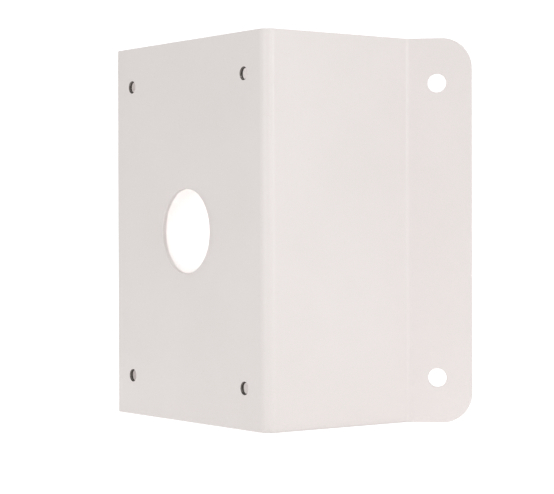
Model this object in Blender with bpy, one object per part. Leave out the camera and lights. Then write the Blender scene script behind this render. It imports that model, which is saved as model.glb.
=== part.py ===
"""Corner mount bracket for a camera, folded from one sheet of steel.

It is made as the real one is: a strip of sheet is folded at four vertical lines into a front
plate, two side panels and two flanges that lie on the walls of an outside building corner.
The flanges' free corners are rounded, and the holes are punched, drilled and countersunk.

Lengths are in metres and +Z is up. The front plate faces -Y, and the wall faces of the flanges
look to the back. The origin is in the middle of the part's box in plan, level with its
lower edge.
"""

import math

import bmesh
import bpy
from mathutils import Matrix, Vector

MM = 0.001

# Sheet
HEIGHT = 180.0 * MM
SHEET = 2.0 * MM
FOLD_RADIUS = 3.0 * MM
SHEET_EDGE_ROUND = 0.35 * MM

# Folds, with each length taken on the outer faces to the sharp corner that a fold rounds off
PLATE_WIDTH = 130.0 * MM
SIDE_DEPTH = 82.0 * MM
FLANGE_LENGTH = 30.0 * MM
SIDE_FOLD = math.radians(90.0)
FLANGE_FOLD = math.radians(45.0)
FLANGE_CORNER_RADIUS = 14.0 * MM

# Cable hole, in the middle of the front plate
CABLE_HOLE_DIAMETER = 40.0 * MM
CABLE_HOLE_EDGE_BREAK = 0.35 * MM

# Four tapped holes in the front plate, at their core diameter and without the thread
TAPPED_HOLE_CORE_DIAMETER = 5.0 * MM
TAPPED_HOLE_COUNTERSINK = 0.65 * MM
TAPPED_HOLE_SPACING_ACROSS = 96.0 * MM
TAPPED_HOLE_SPACING_UP = 142.0 * MM

# Two wall screw holes in each flange
WALL_HOLE_DIAMETER = 8.7 * MM
WALL_HOLE_EDGE_BREAK = 0.35 * MM
WALL_HOLE_SPACING = 138.0 * MM
WALL_HOLE_TO_FLANGE_END = 16.3 * MM

# How finely the round forms are divided
FOLD_SEGMENTS = 12
CORNER_SEGMENTS = 16
EDGE_ROUND_SEGMENTS = 2
CABLE_HOLE_SEGMENTS = 96
TAPPED_HOLE_SEGMENTS = 32
WALL_HOLE_SEGMENTS = 48

# How far a cutter reaches past the faces that it cuts
CUTTER_OVERRUN = 1.0 * MM

SMOOTH_LIMIT = math.radians(30.0)
EDGE_ROUND_LIMIT = math.radians(60.0)
COATING_COLOUR = (0.80, 0.755, 0.74, 1.0)
COATING_ROUGHNESS = 0.42


def clear_scene():
    """Remove the objects that the scene starts with."""
    for item in list(bpy.data.objects):
        bpy.data.objects.remove(item, do_unlink=True)


def heading_vector(heading):
    """Unit vector in plan along a heading, which is measured from +X."""
    return Vector((math.cos(heading), math.sin(heading)))


def left_of(heading):
    """Unit vector in plan to the left of a heading."""
    return Vector((-math.sin(heading), math.cos(heading)))


def go_straight(track, length):
    """Add the end of a flat run to a track of (point, heading) along the outer face."""
    point, heading = track[-1]
    track.append((point + length * heading_vector(heading), heading))


def go_round(track, turn):
    """Add a fold's arc to the track. A left turn has the outer face on its outside."""
    point, heading = track[-1]
    side = math.copysign(1.0, turn)
    radius = FOLD_RADIUS + SHEET if turn > 0.0 else FOLD_RADIUS
    centre = point + side * radius * left_of(heading)
    for step in range(1, FOLD_SEGMENTS + 1):
        angle = heading + turn * step / FOLD_SEGMENTS
        track.append((centre - side * radius * left_of(angle), angle))


def outer_face_track():
    """Outer face of the right half in plan, from the front plate's middle to the flange's end."""
    side_setback = (FOLD_RADIUS + SHEET) * math.tan(SIDE_FOLD / 2.0)
    flange_setback = FOLD_RADIUS * math.tan(FLANGE_FOLD / 2.0)
    track = [(Vector((0.0, 0.0)), 0.0)]
    go_straight(track, PLATE_WIDTH / 2.0 - side_setback)
    go_round(track, SIDE_FOLD)
    go_straight(track, SIDE_DEPTH - side_setback - flange_setback)
    go_round(track, -FLANGE_FOLD)
    go_straight(track, FLANGE_LENGTH - flange_setback)
    return track


def flange_frame(track, side):
    """Matrix of a flange's end in plan: X along the flange outwards, Y up, Z into the wall.

    Its origin is on the outer face at the lower end, and side is 1 on the right, -1 on the left.
    """
    point, heading = track[-1]
    along = heading_vector(heading)
    inward = left_of(heading)
    frame = Matrix((
        (side * along.x, 0.0, side * inward.x, side * point.x),
        (along.y, 0.0, inward.y, point.y),
        (0.0, 1.0, 0.0, 0.0),
        (0.0, 0.0, 0.0, 1.0),
    ))
    return frame


def part_depth(track):
    """Depth of the part, from the front plate's face to the rounded back corner of a flange."""
    point, heading = track[-1]
    sharp_corner = point.y + SHEET * left_of(heading).y
    return sharp_corner - SHEET_EDGE_ROUND * (math.sin(heading) + math.cos(heading) - 1.0)


def finish_mesh(bm, name):
    """Turn a bmesh into a mesh with its faces pointing out."""
    bmesh.ops.recalc_face_normals(bm, faces=bm.faces)
    mesh = bpy.data.meshes.new(name)
    bm.to_mesh(mesh)
    bm.free()
    return mesh


def add_object(name, mesh, parent):
    """Link a mesh to the scene under a parent."""
    item = bpy.data.objects.new(name, mesh)
    bpy.context.collection.objects.link(item)
    item.parent = parent
    return item


def folded_sheet_mesh(track):
    """The whole folded sheet with square corners, before any hole is cut."""
    right = [(point, point + SHEET * left_of(heading)) for point, heading in track]
    left = [(Vector((-a.x, a.y)), Vector((-b.x, b.y))) for a, b in reversed(right[1:])]
    bm = bmesh.new()
    pairs = [[bm.verts.new((p.x, p.y, 0.0)) for p in pair] for pair in left + right]
    for (outer_a, inner_a), (outer_b, inner_b) in zip(pairs, pairs[1:]):
        bm.faces.new((outer_a, inner_a, inner_b, outer_b))
    grown = bmesh.ops.extrude_face_region(bm, geom=bm.faces[:])
    top = [item for item in grown["geom"] if isinstance(item, bmesh.types.BMVert)]
    bmesh.ops.translate(bm, verts=top, vec=(0.0, 0.0, HEIGHT))
    return finish_mesh(bm, "corner_bracket")


def add_prism(bm, outline, low, high, frame):
    """Add an outline of flange points, extruded along the frame's Z from low to high."""
    base = [bm.verts.new(frame @ Vector((x, y, low))) for x, y in outline]
    face = bm.faces.new(base)
    grown = bmesh.ops.extrude_face_region(bm, geom=[face])
    top = [item for item in grown["geom"] if isinstance(item, bmesh.types.BMVert)]
    shift = frame.to_3x3() @ Vector((0.0, 0.0, high - low))
    bmesh.ops.translate(bm, verts=top, vec=shift)


def corner_offcut(upper):
    """Outline of the material that rounding takes off a flange's free corner."""
    radius = FLANGE_CORNER_RADIUS
    arc = []
    for step in range(CORNER_SEGMENTS + 1):
        angle = (math.pi / 2.0) * step / CORNER_SEGMENTS
        arc.append((radius * math.sin(angle) - radius, radius * math.cos(angle) - radius))
    outline = [(-radius, CUTTER_OVERRUN)] + arc
    outline += [(CUTTER_OVERRUN, -radius), (CUTTER_OVERRUN, CUTTER_OVERRUN)]
    if upper:
        return [(x, y + HEIGHT) for x, y in outline]
    return [(x, -y) for x, y in outline]


def corner_cutter_mesh(track):
    """The offcuts of the four free corners."""
    bm = bmesh.new()
    for side in (1, -1):
        frame = flange_frame(track, side)
        for upper in (True, False):
            add_prism(bm, corner_offcut(upper), -CUTTER_OVERRUN, SHEET + CUTTER_OVERRUN, frame)
    return finish_mesh(bm, "corner_cutter")


def add_hole(bm, diameter, edge_break, segments, frame):
    """Add a turned cutter along the frame's Z, flared where it meets the sheet's two faces."""
    radius = diameter / 2.0
    flare = radius + edge_break + CUTTER_OVERRUN
    profile = [
        (flare, -CUTTER_OVERRUN),
        (radius, edge_break),
        (radius, SHEET - edge_break),
        (flare, SHEET + CUTTER_OVERRUN),
    ]
    rings = []
    for ring_radius, depth in profile:
        ring = []
        for step in range(segments):
            angle = 2.0 * math.pi * step / segments
            point = (ring_radius * math.cos(angle), ring_radius * math.sin(angle), depth)
            ring.append(bm.verts.new(frame @ Vector(point)))
        rings.append(ring)
    bm.faces.new(rings[0])
    bm.faces.new(rings[-1])
    for near, far in zip(rings, rings[1:]):
        for step in range(segments):
            after = (step + 1) % segments
            bm.faces.new((near[step], near[after], far[after], far[step]))


def front_frame(across, up):
    """Matrix of a hole in the front plate, with Z into the plate."""
    return Matrix.Translation((across, 0.0, up)) @ Matrix.Rotation(-math.pi / 2.0, 4, "X")


def hole_cutter_mesh(track):
    """Cutters of the cable hole, the four tapped holes and the four wall screw holes."""
    bm = bmesh.new()
    middle = HEIGHT / 2.0
    add_hole(bm, CABLE_HOLE_DIAMETER, CABLE_HOLE_EDGE_BREAK, CABLE_HOLE_SEGMENTS,
             front_frame(0.0, middle))
    for side in (1, -1):
        flange = flange_frame(track, side)
        for level in (1, -1):
            across = side * TAPPED_HOLE_SPACING_ACROSS / 2.0
            up = middle + level * TAPPED_HOLE_SPACING_UP / 2.0
            add_hole(bm, TAPPED_HOLE_CORE_DIAMETER, TAPPED_HOLE_COUNTERSINK,
                     TAPPED_HOLE_SEGMENTS, front_frame(across, up))
            up = middle + level * WALL_HOLE_SPACING / 2.0
            place = Matrix.Translation((-WALL_HOLE_TO_FLANGE_END, up, 0.0))
            add_hole(bm, WALL_HOLE_DIAMETER, WALL_HOLE_EDGE_BREAK, WALL_HOLE_SEGMENTS,
                     flange @ place)
    return finish_mesh(bm, "hole_cutter")


def hide_cutter(cutter):
    """Show a cutter as wires and keep it out of renders."""
    cutter.display_type = "WIRE"
    cutter.hide_render = True


def cut(target, cutter, name):
    """Take a cutter's bodies out of the target."""
    modifier = target.modifiers.new(name, "BOOLEAN")
    modifier.operation = "DIFFERENCE"
    modifier.solver = "EXACT"
    modifier.object = cutter


def round_sheet_edges(target):
    """Round the sheet's sheared edges slightly, as the coating leaves them."""
    modifier = target.modifiers.new("edge_round", "BEVEL")
    modifier.width = SHEET_EDGE_ROUND
    modifier.segments = EDGE_ROUND_SEGMENTS
    modifier.limit_method = "ANGLE"
    modifier.angle_limit = EDGE_ROUND_LIMIT


def shade(target):
    """Shade the round forms smooth, with the flat panels' normals kept true."""
    target.data.shade_smooth()
    target.data.set_sharp_from_angle(angle=SMOOTH_LIMIT)
    modifier = target.modifiers.new("flat_panels", "WEIGHTED_NORMAL")
    modifier.keep_sharp = True


def coating_material():
    """Warm off-white powder coating."""
    material = bpy.data.materials.new("powder_coating")
    material.use_nodes = True
    shader = material.node_tree.nodes["Principled BSDF"]
    shader.inputs["Base Color"].default_value = COATING_COLOUR
    shader.inputs["Roughness"].default_value = COATING_ROUGHNESS
    shader.inputs["Metallic"].default_value = 0.0
    return material


def build_bracket():
    """Make the bracket and its two cutters under an empty that sets the origin."""
    track = outer_face_track()
    origin = bpy.data.objects.new("bracket_origin", None)
    bpy.context.collection.objects.link(origin)
    origin.location = (0.0, -part_depth(track) / 2.0, 0.0)

    bracket = add_object("corner_bracket", folded_sheet_mesh(track), origin)
    corner_cutter = add_object("corner_cutter", corner_cutter_mesh(track), origin)
    hole_cutter = add_object("hole_cutter", hole_cutter_mesh(track), origin)
    hide_cutter(corner_cutter)
    hide_cutter(hole_cutter)

    cut(bracket, corner_cutter, "round_flange_corners")
    round_sheet_edges(bracket)
    cut(bracket, hole_cutter, "cut_holes")

    bracket.data.materials.append(coating_material())
    shade(bracket)
    return bracket


clear_scene()
build_bracket()
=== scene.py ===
"""Looks of the corner mount bracket for a camera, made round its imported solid.

The bracket is laid out as the flat sheet it is cut from, with every cut edge rounded by its
coating and a real thread in each tapped hole, and the flat sheet is then folded. Lengths are in
metres, +Z is up and the front plate faces -Y.
"""

import math

import bmesh
import bpy
from mathutils import Matrix, Vector


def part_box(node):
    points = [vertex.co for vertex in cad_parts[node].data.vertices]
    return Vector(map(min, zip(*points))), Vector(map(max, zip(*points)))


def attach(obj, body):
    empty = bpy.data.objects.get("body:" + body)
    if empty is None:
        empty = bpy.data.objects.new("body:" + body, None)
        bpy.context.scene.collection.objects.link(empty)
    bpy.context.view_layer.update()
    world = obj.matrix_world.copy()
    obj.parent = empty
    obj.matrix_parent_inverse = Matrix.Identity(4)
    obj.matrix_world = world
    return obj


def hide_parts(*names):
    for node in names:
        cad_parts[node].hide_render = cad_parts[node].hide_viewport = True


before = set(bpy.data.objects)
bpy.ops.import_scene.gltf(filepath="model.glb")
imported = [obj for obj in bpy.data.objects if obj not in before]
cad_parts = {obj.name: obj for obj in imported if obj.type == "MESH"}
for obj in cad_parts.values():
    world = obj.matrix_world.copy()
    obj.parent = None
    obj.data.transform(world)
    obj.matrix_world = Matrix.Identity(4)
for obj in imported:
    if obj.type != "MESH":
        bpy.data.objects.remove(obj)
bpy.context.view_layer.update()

MM = 0.001

# Sheet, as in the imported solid
NODE = "corner_bracket"
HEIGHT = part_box(NODE)[1].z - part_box(NODE)[0].z
FRONT_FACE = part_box(NODE)[0].y
SHEET = 2.0 * MM
FOLD_RADIUS = 3.0 * MM
EDGE_ROUND = 0.35 * MM

# Folds, with each length taken on the outer faces to the sharp corner that a fold rounds off
PLATE_WIDTH = 130.0 * MM
SIDE_DEPTH = 82.0 * MM
FLANGE_LENGTH = 30.0 * MM
SIDE_FOLD = math.radians(90.0)
FLANGE_FOLD = math.radians(45.0)
FLANGE_CORNER_RADIUS = 14.0 * MM
FOLD_END_PULL = 0.12 * MM

# Plain holes
CABLE_HOLE_DIAMETER = 40.0 * MM
WALL_HOLE_DIAMETER = 8.7 * MM
WALL_HOLE_SPACING = 138.0 * MM
WALL_HOLE_TO_FLANGE_END = 16.3 * MM

# Tapped holes, with the thread's flats as shares of its pitch
TAPPED_HOLE_SPACING_ACROSS = 96.0 * MM
TAPPED_HOLE_SPACING_UP = 142.0 * MM
THREAD_CORE_DIAMETER = 5.0 * MM
THREAD_OUTER_DIAMETER = 6.0 * MM
THREAD_PITCH = 1.0 * MM
THREAD_ROOT_FLAT = 0.125
THREAD_CREST_FLAT = 0.25
COUNTERSINK_DIAMETER = 6.3 * MM
COUNTERSINK_RIM = 0.1 * MM
RIM_DEPTH = COUNTERSINK_RIM / math.sqrt(2.0)

# How finely the round forms are divided
FOLD_FACET = math.radians(3.0)
EDGE_SEGMENTS = 6
CORNER_SEGMENTS = 32
CABLE_HOLE_SEGMENTS = 192
WALL_HOLE_SEGMENTS = 96
THREAD_SEGMENTS = 96
THREAD_LEVELS = 48
RIM_SEGMENTS = 4

# Turns
FULL_TURN = 2.0 * math.pi
QUARTER_TURN = math.pi / 2.0

# Layer of the mesh that is 1 on cut edges and 0 elsewhere, and the mesh's materials in order
EDGE_MARK = "edge"
COATED = 0
THREADED = 1

# Noise patterns as the size of their features and their detail
CLOUDS = (45.0 * MM, 3.0)
EDGE_WEAR = (3.0 * MM, 4.0)
GRAIN = (0.35 * MM, 2.0)
FILM = (14.0 * MM, 3.0)
ORANGE_PEEL = (1.3 * MM, 1.0)
FINE_PEEL = (0.3 * MM, 1.0)
TAP_MARKS = (1.4 * MM, 3.0)
OIL = (1.8 * MM, 3.0)

# Ranges in which most of a noise pattern's values lie
USUAL_NOISE = (0.35, 0.65)
WIDE_NOISE = (0.25, 0.75)

# Powder coating. Its roughness stays above 0.274, because the renderer's noise filter takes a
# smoother surface for a mirror and leaves patches on it.
COATING_PALE = (0.802, 0.751, 0.736, 1.0)
COATING_WARM = (0.787, 0.737, 0.719, 1.0)
COATING_EDGE = (0.770, 0.722, 0.700, 1.0)
COATING_ROUGHNESS = (0.277, 0.303)
GRAIN_TONES = (0.985, 1.015)
ORANGE_PEEL_DEPTH = 0.030 * MM
FINE_PEEL_DEPTH = 0.005 * MM

# Bare steel of the threads
STEEL_DARK = (0.097, 0.084, 0.077, 1.0)
STEEL_LIGHT = (0.198, 0.180, 0.169, 1.0)
STEEL_ROUGHNESS = (0.20, 0.32)
STEEL_METALLIC = 1.0
TAP_MARK_SCALE = (1.0, 14.0, 1.0)
TAP_MARK_DEPTH = 0.006 * MM

# Numbers of sockets that others share a name with: the Mix node's two colours and its result,
# the Mix Shader node's two shaders and the Math node's two values
MIX_COLOURS = (6, 7)
MIX_RESULT = 2
JOINED_SHADERS = (1, 2)
JOINED_VALUES = (0, 1)

# Camera that was fitted to the photograph, with its focal length and frame in the photograph's
# pixels and its sensor in millimetres
PHOTO_WIDTH = 554
SENSOR_WIDTH = 36.0
FOCAL_PIXELS = 1818.0
CAMERA_PLACE = (0.720009, -0.468707, 0.089154)
CAMERA_YAW = math.radians(-54.061)
CAMERA_PITCH = math.radians(-0.450)
CAMERA_ROLL = math.radians(-0.164)

# Floor and room
WHITE = (1.0, 1.0, 1.0, 1.0)
WHITE_AS_SEEN = 1.2
FLOOR_SIZE = 12.0
FLOOR_DROP = 0.1 * MM
FLOOR_COLOUR = (0.50, 0.50, 0.50, 1.0)
FLOOR_ROUGHNESS = 0.9
FLOOR_SPECULAR = 0.0
FLOOR_GLOW = 0.40
ROOM_LIGHT = 0.595

# Soft boxes as name, azimuth from -Y towards +X and elevation in degrees, distance, width, height
# and power in watts
SOFT_BOXES = (
    ("key_light", 38.0, 45.0, 1.4, 0.5, 0.5, 1.98),
    ("front_light", 20.0, 5.5, 1.4, 0.5, 0.44, 0.96),
    ("strip_light", 111.0, 8.0, 1.6, 0.10, 0.6, 2.17),
    ("side_light", 80.0, 15.0, 1.2, 0.4, 0.4, 1.0),
    ("back_light", 182.0, 50.0, 1.5, 0.9, 0.9, 4.2),
    ("left_light", 250.0, 20.0, 1.6, 0.9, 0.9, 3.0),
)

# Light boards on the floor as name, place in plan, length along X, length along Y and power in
# watts
LIGHT_BOARDS = (
    ("front_board", 0.0, -0.427, 0.9, 0.75, 0.567),
    ("right_board", 0.441, 0.149, 0.75, 0.40, 0.274),
)
BOARD_LEVEL = -0.05 * MM

# Light that enters the channel from behind on the right and glances off the left side panel, so
# that the panel shows as white through the cable hole
GLANCE_TARGET = (-0.063, -0.004, 0.09)
GLANCE_AZIMUTH = math.radians(126.0)
GLANCE_ELEVATION = 0.0
GLANCE_DISTANCE = 1.0
GLANCE_SIZE = 0.05
GLANCE_POWER = 0.0032
GLANCE_SPREAD = math.radians(4.0)


def heading_vector(heading):
    """Unit vector in a plane along a heading, which is measured from the plane's first axis."""
    return Vector((math.cos(heading), math.sin(heading)))


def left_of(heading):
    """Unit vector in a plane to the left of a heading."""
    return Vector((-math.sin(heading), math.cos(heading)))


def flat_and_folded_runs():
    """Runs of the right half's outer face from the middle out, each as (length, turn)."""
    outer_radius = FOLD_RADIUS + SHEET
    side_setback = outer_radius * math.tan(SIDE_FOLD / 2.0)
    flange_setback = FOLD_RADIUS * math.tan(FLANGE_FOLD / 2.0)
    return (
        (PLATE_WIDTH / 2.0 - side_setback, 0.0),
        (outer_radius * SIDE_FOLD, SIDE_FOLD),
        (SIDE_DEPTH - side_setback - flange_setback, 0.0),
        (FOLD_RADIUS * FLANGE_FOLD, -FLANGE_FOLD),
        (FLANGE_LENGTH - flange_setback, 0.0),
    )


RUNS = flat_and_folded_runs()
HALF_LENGTH = sum(length for length, turn in RUNS)


def fold_columns():
    """Distances from the middle at which a fold starts, turns by one facet and ends."""
    columns = []
    start = 0.0
    for length, turn in RUNS:
        if turn:
            count = round(abs(turn) / FOLD_FACET)
            columns += [start + length * step / count for step in range(count + 1)]
        start += length
    return columns


def folded(point):
    """Where a point of the flat sheet (along it, into it, up) lies once the sheet is folded.

    A fold draws the sheet's upper and lower edges in a little on its stretched side.
    """
    side = math.copysign(1.0, point.x)
    left = abs(point.x)
    place = Vector((0.0, FRONT_FACE))
    heading = 0.0
    pull = 0.0
    for length, turn in RUNS:
        step = min(left, length)
        left -= step
        if turn:
            radius = length / turn
            centre = place + radius * left_of(heading)
            heading += turn * step / length
            place = centre - radius * left_of(heading)
            stretched = 1.0 - point.y / SHEET if turn > 0.0 else point.y / SHEET
            pull += FOLD_END_PULL * stretched * math.sin(math.pi * step / length) ** 2
        else:
            place = place + step * heading_vector(heading)
    place = place + point.y * left_of(heading)
    up = point.z + pull if point.z < HEIGHT / 2.0 else point.z - pull
    return Vector((side * place.x, place.y, up))


def sheet_outline():
    """The flat sheet's outline as (along, up, outward along, outward up).

    It runs along the lower edge of the right half, round its flange and back along the upper
    edge, and then the same way back on the left half.
    """
    columns = fold_columns()
    right = [(along, 0.0, 0.0, -1.0) for along in columns]
    corners = ((-QUARTER_TURN, FLANGE_CORNER_RADIUS), (0.0, HEIGHT - FLANGE_CORNER_RADIUS))
    for first, level in corners:
        for step in range(CORNER_SEGMENTS + 1):
            out = heading_vector(first + QUARTER_TURN * step / CORNER_SEGMENTS)
            along = HALF_LENGTH - FLANGE_CORNER_RADIUS * (1.0 - out.x)
            right.append((along, level + FLANGE_CORNER_RADIUS * out.y, out.x, out.y))
    right += [(along, HEIGHT, 0.0, 1.0) for along in reversed(columns)]
    left = [(-along, up, -out_along, out_up) for along, up, out_along, out_up in reversed(right)]
    return right + left


def round_hole(along, up, diameter, segments):
    """A round hole's edge in the form of sheet_outline, with outward being into the hole."""
    radius = diameter / 2.0
    edge = []
    for step in range(segments):
        out = heading_vector(FULL_TURN * step / segments)
        edge.append((along + radius * out.x, up + radius * out.y, -out.x, -out.y))
    return edge


def join_rings(bm, rings, material_index):
    """Faces between each ring of vertices and the next."""
    for near, far in zip(rings, rings[1:]):
        for index in range(len(near)):
            after = (index + 1) % len(near)
            face = bm.faces.new((near[index], near[after], far[after], far[index]))
            face.material_index = material_index


def cut_edge(bm, edge):
    """A rounded cut edge through the sheet. Returns its rings on the front and back faces."""
    mark = bm.verts.layers.float[EDGE_MARK]
    turns = [QUARTER_TURN * step / EDGE_SEGMENTS for step in range(EDGE_SEGMENTS + 1)]
    levels = [(1.0 - math.sin(turn), EDGE_ROUND * (1.0 - math.cos(turn))) for turn in turns]
    levels += [(inset, SHEET - depth) for inset, depth in reversed(levels)]
    rings = []
    for inset, depth in levels:
        back = inset * EDGE_ROUND
        ring = []
        for along, up, out_along, out_up in edge:
            vertex = bm.verts.new((along - back * out_along, depth, up - back * out_up))
            vertex[mark] = 1.0 - inset
            ring.append(vertex)
        rings.append(ring)
    join_rings(bm, rings, COATED)
    return rings[0], rings[-1]


def thread_radius(angle, depth):
    """Radius of a tapped hole at an angle round it and a depth below the front face."""
    countersink = COUNTERSINK_DIAMETER / 2.0 - min(depth, SHEET - depth)
    from_root = 2.0 * abs((depth / THREAD_PITCH - angle / FULL_TURN) % 1.0 - 0.5)
    flank = 1.0 - THREAD_CREST_FLAT - THREAD_ROOT_FLAT
    rise = min(1.0, max(0.0, (from_root - THREAD_ROOT_FLAT) / flank))
    thread = THREAD_OUTER_DIAMETER / 2.0
    thread -= rise * (THREAD_OUTER_DIAMETER - THREAD_CORE_DIAMETER) / 2.0
    return max(countersink, thread)


def rim_profile():
    """Radius, depth and edge mark of a countersink's rim, from the face round to the cone."""
    profile = []
    for step in range(RIM_SEGMENTS):
        share = step / RIM_SEGMENTS
        depth = RIM_DEPTH * share ** 2
        radius = COUNTERSINK_DIAMETER / 2.0 + COUNTERSINK_RIM * (1.0 - share) ** 2 - depth
        profile.append((radius, depth, float(step > 0)))
    return profile


def tapped_hole(bm, along, up):
    """A countersunk and threaded hole. Returns its rings on the front and back faces."""
    layer = bm.verts.layers.float[EDGE_MARK]
    angles = [FULL_TURN * step / THREAD_SEGMENTS for step in range(THREAD_SEGMENTS)]

    def ring_at(depth, radii, mark):
        """Vertices at a depth, with a radius for each angle."""
        ring = []
        for angle, radius in zip(angles, radii):
            out = heading_vector(angle) * radius
            vertex = bm.verts.new((along + out.x, depth, up + out.y))
            vertex[layer] = mark
            ring.append(vertex)
        return ring

    rim = [(depth, [radius] * THREAD_SEGMENTS, mark) for radius, depth, mark in rim_profile()]
    front = [ring_at(depth, radii, mark) for depth, radii, mark in rim]
    back = [ring_at(SHEET - depth, radii, mark) for depth, radii, mark in rim]
    bore = []
    for step in range(THREAD_LEVELS + 1):
        depth = RIM_DEPTH + (SHEET - 2.0 * RIM_DEPTH) * step / THREAD_LEVELS
        bore.append(ring_at(depth, [thread_radius(angle, depth) for angle in angles], 0.0))
    join_rings(bm, front + bore[:1], COATED)
    join_rings(bm, bore, THREADED)
    join_rings(bm, bore[-1:] + back[::-1], COATED)
    return front[0], back[0]


def fill(bm, loops):
    """Triangles between the first loop of vertices and the holes that the other loops bound."""
    edges = []
    for loop in loops:
        for one, other in zip(loop, loop[1:] + loop[:1]):
            edges.append(bm.edges.get((one, other)) or bm.edges.new((one, other)))
    bmesh.ops.triangle_fill(bm, use_beauty=True, use_dissolve=False, edges=edges)


def fill_face(bm, outline, plate_holes, flange_holes):
    """One face of the flat sheet, inside the outline's ring and round the rings of the holes.

    flange_holes holds the rings of the right flange and then those of the left.
    """
    half = len(outline) // 2
    count = len(fold_columns())
    right = outline[:half]
    left = outline[half:][::-1]
    for points in (right, left):
        lower = points[:count]
        upper = points[::-1][:count]
        for index in range(count - 1):
            bm.faces.new((lower[index], lower[index + 1], upper[index + 1], upper[index]))
    fill(bm, [[left[0], right[0], right[-1], left[-1]]] + plate_holes)
    for points, holes in zip((right, left), flange_holes):
        fill(bm, [points[count - 1:half - count + 1]] + holes)


def flat_sheet():
    """The whole sheet laid flat, with its front face at Y 0, as a bmesh."""
    bm = bmesh.new()
    bm.verts.layers.float.new(EDGE_MARK)
    middle = HEIGHT / 2.0
    outline = cut_edge(bm, sheet_outline())
    plate_holes = [cut_edge(bm, round_hole(0.0, middle, CABLE_HOLE_DIAMETER, CABLE_HOLE_SEGMENTS))]
    flange_holes = []
    for side in (1, -1):
        on_flange = side * (HALF_LENGTH - WALL_HOLE_TO_FLANGE_END)
        on_plate = side * TAPPED_HOLE_SPACING_ACROSS / 2.0
        pair = []
        for level in (1, -1):
            up = middle + level * WALL_HOLE_SPACING / 2.0
            hole = round_hole(on_flange, up, WALL_HOLE_DIAMETER, WALL_HOLE_SEGMENTS)
            pair.append(cut_edge(bm, hole))
            up = middle + level * TAPPED_HOLE_SPACING_UP / 2.0
            plate_holes.append(tapped_hole(bm, on_plate, up))
        flange_holes.append(pair)
    for face in (0, 1):
        fill_face(bm, outline[face], [rings[face] for rings in plate_holes],
                  [[rings[face] for rings in pair] for pair in flange_holes])
    return bm


def make_bracket():
    """The folded bracket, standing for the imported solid."""
    bm = flat_sheet()
    for vertex in bm.verts:
        vertex.co = folded(vertex.co)
    bmesh.ops.recalc_face_normals(bm, faces=bm.faces[:])
    mesh = bpy.data.meshes.new("folded_bracket")
    bm.to_mesh(mesh)
    bm.free()
    mesh.materials.append(coating_material())
    mesh.materials.append(thread_material())
    mesh.shade_smooth()
    bracket = bpy.data.objects.new("folded_bracket", mesh)
    bpy.context.scene.collection.objects.link(bracket)
    normals = bracket.modifiers.new("flat_panels", "WEIGHTED_NORMAL")
    normals.keep_sharp = True
    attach(bracket, "root")
    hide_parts(NODE)


def add_node(tree, kind, values=None, **settings):
    """Add a node with its settings and the values of its inputs."""
    node = tree.nodes.new(kind)
    for name, value in settings.items():
        setattr(node, name, value)
    for name, value in (values or {}).items():
        node.inputs[name].default_value = value
    return node


def new_material(name):
    """A material with its node tree and its shader."""
    material = bpy.data.materials.new(name)
    material.use_nodes = True
    tree = material.node_tree
    return material, tree, tree.nodes["Principled BSDF"]


def place_in_object(tree):
    """The shaded point's place in the object."""
    return add_node(tree, "ShaderNodeTexCoord").outputs["Object"]


def noise(tree, place, features, detail):
    """Noise with features about so many metres across."""
    node = add_node(tree, "ShaderNodeTexNoise", {"Scale": 1.0 / features, "Detail": detail})
    tree.links.new(place, node.inputs["Vector"])
    return node.outputs["Fac"]


def span(tree, value, onto=(0.0, 1.0), usual=USUAL_NOISE):
    """Map a noise value from its usual range onto another."""
    node = add_node(tree, "ShaderNodeMapRange", {
        "From Min": usual[0], "From Max": usual[1], "To Min": onto[0], "To Max": onto[1]})
    tree.links.new(value, node.inputs["Value"])
    return node.outputs["Result"]


def multiply(tree, values):
    """Multiply two values."""
    node = add_node(tree, "ShaderNodeMath", operation="MULTIPLY")
    for index, value in zip(JOINED_VALUES, values):
        tree.links.new(value, node.inputs[index])
    return node.outputs["Value"]


def mix_colours(tree, factor, colours):
    """Mix two colours, each a constant or a node's output."""
    node = add_node(tree, "ShaderNodeMix", data_type="RGBA")
    tree.links.new(factor, node.inputs["Factor"])
    for index, colour in zip(MIX_COLOURS, colours):
        if isinstance(colour, tuple):
            node.inputs[index].default_value = colour
        else:
            tree.links.new(colour, node.inputs[index])
    return node.outputs[MIX_RESULT]


def tone(tree, colour, factor):
    """Multiply a colour by a factor."""
    node = add_node(tree, "ShaderNodeVectorMath", operation="SCALE")
    tree.links.new(colour, node.inputs["Vector"])
    tree.links.new(factor, node.inputs["Scale"])
    return node.outputs["Vector"]


def bump(tree, height, depth, base=None):
    """Relief of a given depth in metres, on top of another relief if there is one."""
    node = add_node(tree, "ShaderNodeBump", {"Strength": 1.0, "Distance": depth})
    tree.links.new(height, node.inputs["Height"])
    if base is not None:
        tree.links.new(base, node.inputs["Normal"])
    return node.outputs["Normal"]


def coating_material():
    """Warm off-white powder coating, satin, with a fine orange peel and a thinner coat on edges."""
    material, tree, shader = new_material("powder_coating")
    place = place_in_object(tree)

    clouds = span(tree, noise(tree, place, *CLOUDS))
    clouded = mix_colours(tree, clouds, (COATING_PALE, COATING_WARM))
    edge = add_node(tree, "ShaderNodeAttribute", attribute_name=EDGE_MARK).outputs["Fac"]
    thin = multiply(tree, (edge, span(tree, noise(tree, place, *EDGE_WEAR))))
    edged = mix_colours(tree, thin, (clouded, COATING_EDGE))
    grain = span(tree, noise(tree, place, *GRAIN), GRAIN_TONES)
    tree.links.new(tone(tree, edged, grain), shader.inputs["Base Color"])

    film = span(tree, noise(tree, place, *FILM), COATING_ROUGHNESS, WIDE_NOISE)
    tree.links.new(film, shader.inputs["Roughness"])

    peel = bump(tree, noise(tree, place, *ORANGE_PEEL), ORANGE_PEEL_DEPTH)
    relief = bump(tree, noise(tree, place, *FINE_PEEL), FINE_PEEL_DEPTH, peel)
    tree.links.new(relief, shader.inputs["Normal"])
    return material


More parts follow.
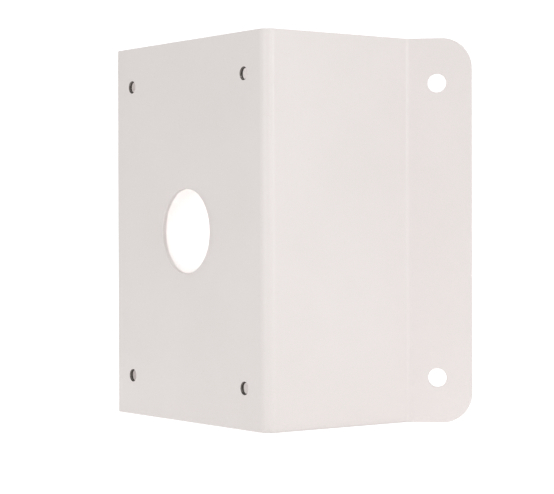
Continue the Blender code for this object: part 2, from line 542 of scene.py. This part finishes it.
def thread_material():
    """Bare tapped steel, dulled by oil, with the tap's fine marks running round the thread."""
    material, tree, shader = new_material("tapped_steel")
    place = place_in_object(tree)
    shader.inputs["Metallic"].default_value = STEEL_METALLIC

    oil = span(tree, noise(tree, place, *OIL))
    steel = mix_colours(tree, oil, (STEEL_DARK, STEEL_LIGHT))
    tree.links.new(steel, shader.inputs["Base Color"])

    stretched = add_node(tree, "ShaderNodeMapping", {"Scale": TAP_MARK_SCALE})
    tree.links.new(place, stretched.inputs["Vector"])
    marks = noise(tree, stretched.outputs["Vector"], *TAP_MARKS)
    tree.links.new(span(tree, marks, STEEL_ROUGHNESS), shader.inputs["Roughness"])
    tree.links.new(bump(tree, marks, TAP_MARK_DEPTH), shader.inputs["Normal"])
    return material


def show_as(tree, lighting, seen, surface):
    """Light the bracket by one shader and show the plain white of another in its place."""
    path = add_node(tree, "ShaderNodeLightPath")
    mix = add_node(tree, "ShaderNodeMixShader")
    tree.links.new(path.outputs["Is Camera Ray"], mix.inputs["Fac"])
    for index, shader in zip(JOINED_SHADERS, (lighting, seen)):
        tree.links.new(shader, mix.inputs[index])
    tree.links.new(mix.outputs["Shader"], surface)


def make_floor():
    """Pale floor, lit through from below as a product table is, and seen as plain white."""
    material, tree, shader = new_material("pale_floor")
    shader.inputs["Base Color"].default_value = FLOOR_COLOUR
    shader.inputs["Roughness"].default_value = FLOOR_ROUGHNESS
    shader.inputs["Specular IOR Level"].default_value = FLOOR_SPECULAR
    shader.inputs["Emission Color"].default_value = WHITE
    shader.inputs["Emission Strength"].default_value = FLOOR_GLOW
    seen = add_node(tree, "ShaderNodeEmission", {"Color": WHITE, "Strength": WHITE_AS_SEEN})
    show_as(tree, shader.outputs["BSDF"], seen.outputs["Emission"],
            tree.nodes["Material Output"].inputs["Surface"])
    bm = bmesh.new()
    bmesh.ops.create_grid(bm, x_segments=1, y_segments=1, size=FLOOR_SIZE / 2.0)
    mesh = bpy.data.meshes.new("studio_floor")
    bm.to_mesh(mesh)
    bm.free()
    mesh.materials.append(material)
    floor = bpy.data.objects.new("studio_floor", mesh)
    floor.location.z = -FLOOR_DROP
    bpy.context.scene.collection.objects.link(floor)


def make_room():
    """White room: it lights softly, and is seen as plain white."""
    world = bpy.data.worlds.new("white_room")
    bpy.context.scene.world = world
    world.use_nodes = True
    tree = world.node_tree
    lighting = tree.nodes["Background"]
    lighting.inputs["Color"].default_value = WHITE
    lighting.inputs["Strength"].default_value = ROOM_LIGHT
    seen = add_node(tree, "ShaderNodeBackground", {"Color": WHITE, "Strength": WHITE_AS_SEEN})
    show_as(tree, lighting.outputs["Background"], seen.outputs["Background"],
            tree.nodes["World Output"].inputs["Surface"])


def add_soft_light(name, place, target, width, height, power, spread=math.pi):
    """A soft box at a place, facing a target."""
    data = bpy.data.lights.new(name, "AREA")
    data.shape = "RECTANGLE"
    data.size = width
    data.size_y = height
    data.energy = power
    data.spread = spread
    light = bpy.data.objects.new(name, data)
    light.location = place
    light.rotation_mode = "QUATERNION"
    light.rotation_quaternion = (Vector(target) - Vector(place)).to_track_quat("-Z", "Y")
    light.visible_camera = False
    bpy.context.scene.collection.objects.link(light)


def around(target, azimuth, elevation, distance):
    """A place round a target, by its azimuth from -Y towards +X and its elevation."""
    level = distance * math.cos(elevation)
    return Vector(target) + Vector((
        level * math.sin(azimuth),
        -level * math.cos(azimuth),
        distance * math.sin(elevation),
    ))


def make_lights():
    """Soft boxes all round the bracket, and the light on the panel behind the cable hole."""
    middle = (0.0, 0.0, HEIGHT / 2.0)
    for name, azimuth, elevation, distance, width, height, power in SOFT_BOXES:
        place = around(middle, math.radians(azimuth), math.radians(elevation), distance)
        add_soft_light(name, place, middle, width, height, power)
    for name, along, across, width, depth, power in LIGHT_BOARDS:
        place = Vector((along, across, BOARD_LEVEL))
        add_soft_light(name, place, place + Vector((0.0, 0.0, 1.0)), width, depth, power)
    place = around(GLANCE_TARGET, GLANCE_AZIMUTH, GLANCE_ELEVATION, GLANCE_DISTANCE)
    add_soft_light("glancing_light", place, GLANCE_TARGET, GLANCE_SIZE, GLANCE_SIZE, GLANCE_POWER,
                   GLANCE_SPREAD)


def make_camera():
    """The camera as fitted to the photograph."""
    data = bpy.data.cameras.new("photo_camera")
    data.sensor_width = SENSOR_WIDTH
    data.lens = SENSOR_WIDTH * FOCAL_PIXELS / PHOTO_WIDTH
    camera = bpy.data.objects.new("photo_camera", data)
    camera.location = Vector(CAMERA_PLACE) + Vector((0.0, FRONT_FACE, 0.0))
    forward = Vector((
        math.sin(CAMERA_YAW) * math.cos(CAMERA_PITCH),
        math.cos(CAMERA_YAW) * math.cos(CAMERA_PITCH),
        math.sin(CAMERA_PITCH),
    ))
    level = Vector((math.cos(CAMERA_YAW), -math.sin(CAMERA_YAW), 0.0))
    upright = level.cross(forward)
    right = math.cos(CAMERA_ROLL) * level + math.sin(CAMERA_ROLL) * upright
    up = math.cos(CAMERA_ROLL) * upright - math.sin(CAMERA_ROLL) * level
    camera.rotation_mode = "QUATERNION"
    camera.rotation_quaternion = Matrix((right, up, -forward)).transposed().to_quaternion()
    bpy.context.scene.collection.objects.link(camera)
    bpy.context.scene.camera = camera


make_camera()
make_room()
make_floor()
make_lights()
make_bracket()
bpy.context.scene.view_settings.view_transform = "Standard"
